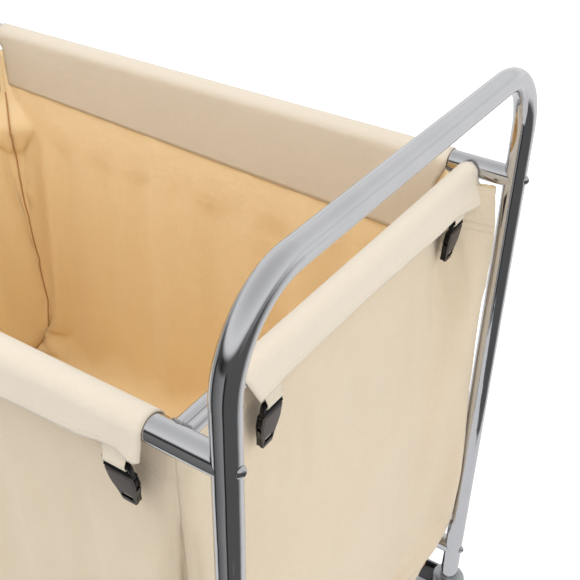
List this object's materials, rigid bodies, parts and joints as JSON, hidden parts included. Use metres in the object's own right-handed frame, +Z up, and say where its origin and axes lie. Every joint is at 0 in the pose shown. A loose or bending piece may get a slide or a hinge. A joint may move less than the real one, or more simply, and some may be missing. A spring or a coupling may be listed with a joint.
{
  "type": "linen trolley",
  "caption": "Chromed tube trolley on swivel casters with a push hoop at each end and an open canvas bag folded over its top rails and buckled down.",
  "frame": {"origin": "on the floor, under the middle of the trolley", "axes": "+X along the trolley towards the right-hand push hoop, +Y across it towards the back, +Z up"},
  "size_m": [0.923, 0.596, 0.9445],
  "materials": {
    "chrome_tube": "polished chrome plate",
    "steel_hardware": "zinc plated",
    "caster_steel": "satin grey",
    "wheel_tread": "matt dark grey",
    "wheel_core": "matt grey",
    "pedal_plastic": "matt black, ribbed",
    "plug_plastic": "matt black",
    "socket_plastic": "matt black",
    "canvas": "cream woven canvas with a coated back",
    "tab_webbing": "cream cloth tape",
    "buckle_plastic": "black acetal, slightly glossy"
  },
  "bodies": {
    "frame": {"back_bottom_rail": "chrome_tube", "back_top_rail": "chrome_tube", "bag_back_flap": "canvas", "bag_back_panel": "canvas", "bag_floor_panel": "canvas", "bag_front_flap": "canvas", "bag_front_panel": "canvas", "bag_left_flap": "canvas", "bag_left_panel": "canvas", "bag_right_flap": "canvas", "bag_right_panel": "canvas", "bag_support_bars": "chrome_tube", "buckle_clips": "buckle_plastic", "caster_stems": "caster_steel", "flap_tabs": "tab_webbing", "front_bottom_rail": "chrome_tube", "front_top_rail": "chrome_tube", "left_bottom_crossbar": "chrome_tube", "left_end_hoop": "chrome_tube", "left_top_crossbar": "chrome_tube", "leg_stem_sockets": "socket_plastic", "rail_end_plugs": "plug_plastic", "rail_screws": "steel_hardware", "right_bottom_crossbar": "chrome_tube", "right_end_hoop": "chrome_tube", "right_top_crossbar": "chrome_tube"},
    "front_right_caster": {"front_right_caster_fork": "caster_steel", "front_right_caster_axle": "steel_hardware", "front_right_brake_pin": "steel_hardware"},
    "front_right_wheel": {"front_right_wheel_tyre": "wheel_tread", "front_right_wheel_core": "wheel_core"},
    "front_right_brake": {"front_right_brake_pedal": "pedal_plastic"},
    "back_right_caster": {"back_right_caster_fork": "caster_steel", "back_right_caster_axle": "steel_hardware", "back_right_brake_pin": "steel_hardware"},
    "back_right_wheel": {"back_right_wheel_tyre": "wheel_tread", "back_right_wheel_core": "wheel_core"},
    "back_right_brake": {"back_right_brake_pedal": "pedal_plastic"},
    "front_left_caster": {"front_left_caster_fork": "caster_steel", "front_left_caster_axle": "steel_hardware"},
    "front_left_wheel": {"front_left_wheel_tyre": "wheel_tread", "front_left_wheel_core": "wheel_core"},
    "back_left_caster": {"back_left_caster_fork": "caster_steel", "back_left_caster_axle": "steel_hardware"},
    "back_left_wheel": {"back_left_wheel_tyre": "wheel_tread", "back_left_wheel_core": "wheel_core"},
    "buckle_back_side_left": {"buckle_back_side_left": "buckle_plastic"},
    "buckle_back_side_middle": {"buckle_back_side_middle": "buckle_plastic"},
    "buckle_back_side_right": {"buckle_back_side_right": "buckle_plastic"},
    "buckle_front_side_left": {"buckle_front_side_left": "buckle_plastic"},
    "buckle_front_side_middle": {"buckle_front_side_middle": "buckle_plastic"},
    "buckle_front_side_right": {"buckle_front_side_right": "buckle_plastic"},
    "buckle_left_end_back": {"buckle_left_end_back": "buckle_plastic"},
    "buckle_left_end_front": {"buckle_left_end_front": "buckle_plastic"},
    "buckle_right_end_back": {"buckle_right_end_back": "buckle_plastic"},
    "buckle_right_end_front": {"buckle_right_end_front": "buckle_plastic"}
  },
  "joints": [
    {"name": "front_right_swivel", "type": "hinge", "parent": "frame", "child": "front_right_caster", "pos_m": [0.4375, -0.271, 0.11], "axis": [0, 0, 1], "continuous": true},
    {"name": "front_right_roll", "type": "hinge", "parent": "front_right_caster", "child": "front_right_wheel", "pos_m": [0.4095, -0.271, 0.05], "axis": [0, 1, 0], "continuous": true},
    {"name": "front_right_brake_press", "type": "hinge", "parent": "front_right_caster", "child": "front_right_brake", "pos_m": [0.3775, -0.271, 0.097], "axis": [0, -1, 0], "range_deg": [0, 30]},
    {"name": "back_right_swivel", "type": "hinge", "parent": "frame", "child": "back_right_caster", "pos_m": [0.4375, 0.271, 0.11], "axis": [0, 0, 1], "continuous": true},
    {"name": "back_right_roll", "type": "hinge", "parent": "back_right_caster", "child": "back_right_wheel", "pos_m": [0.4095, 0.271, 0.05], "axis": [0, 1, 0], "continuous": true},
    {"name": "back_right_brake_press", "type": "hinge", "parent": "back_right_caster", "child": "back_right_brake", "pos_m": [0.3775, 0.271, 0.097], "axis": [0, -1, 0], "range_deg": [0, 30]},
    {"name": "front_left_swivel", "type": "hinge", "parent": "frame", "child": "front_left_caster", "pos_m": [-0.4375, -0.271, 0.11], "axis": [0, 0, 1], "continuous": true},
    {"name": "front_left_roll", "type": "hinge", "parent": "front_left_caster", "child": "front_left_wheel", "pos_m": [-0.4095, -0.271, 0.05], "axis": [0, 1, 0], "continuous": true},
    {"name": "back_left_swivel", "type": "hinge", "parent": "frame", "child": "back_left_caster", "pos_m": [-0.4375, 0.271, 0.11], "axis": [0, 0, 1], "continuous": true},
    {"name": "back_left_roll", "type": "hinge", "parent": "back_left_caster", "child": "back_left_wheel", "pos_m": [-0.4095, 0.271, 0.05], "axis": [0, 1, 0], "continuous": true},
    {"name": "back_side_left_release", "type": "slide", "parent": "frame", "child": "buckle_back_side_left", "axis": [0, -0.225, -0.9744], "range_m": [0, 0.018]},
    {"name": "back_side_middle_release", "type": "slide", "parent": "frame", "child": "buckle_back_side_middle", "axis": [0, -0.225, -0.9744], "range_m": [0, 0.018]},
    {"name": "back_side_right_release", "type": "slide", "parent": "frame", "child": "buckle_back_side_right", "axis": [0, -0.225, -0.9744], "range_m": [0, 0.018]},
    {"name": "front_side_left_release", "type": "slide", "parent": "frame", "child": "buckle_front_side_left", "axis": [0, 0.225, -0.9744], "range_m": [0, 0.018]},
    {"name": "front_side_middle_release", "type": "slide", "parent": "frame", "child": "buckle_front_side_middle", "axis": [0, 0.225, -0.9744], "range_m": [0, 0.018]},
    {"name": "front_side_right_release", "type": "slide", "parent": "frame", "child": "buckle_front_side_right", "axis": [0, 0.225, -0.9744], "range_m": [0, 0.018]},
    {"name": "left_end_back_release", "type": "slide", "parent": "frame", "child": "buckle_left_end_back", "axis": [0.1392, 0, -0.9903], "range_m": [0, 0.018]},
    {"name": "left_end_front_release", "type": "slide", "parent": "frame", "child": "buckle_left_end_front", "axis": [0.1392, 0, -0.9903], "range_m": [0, 0.018]},
    {"name": "right_end_back_release", "type": "slide", "parent": "frame", "child": "buckle_right_end_back", "axis": [-0.1392, 0, -0.9903], "range_m": [0, 0.018]},
    {"name": "right_end_front_release", "type": "slide", "parent": "frame", "child": "buckle_right_end_front", "axis": [-0.1392, 0, -0.9903], "range_m": [0, 0.018]}
  ]
}
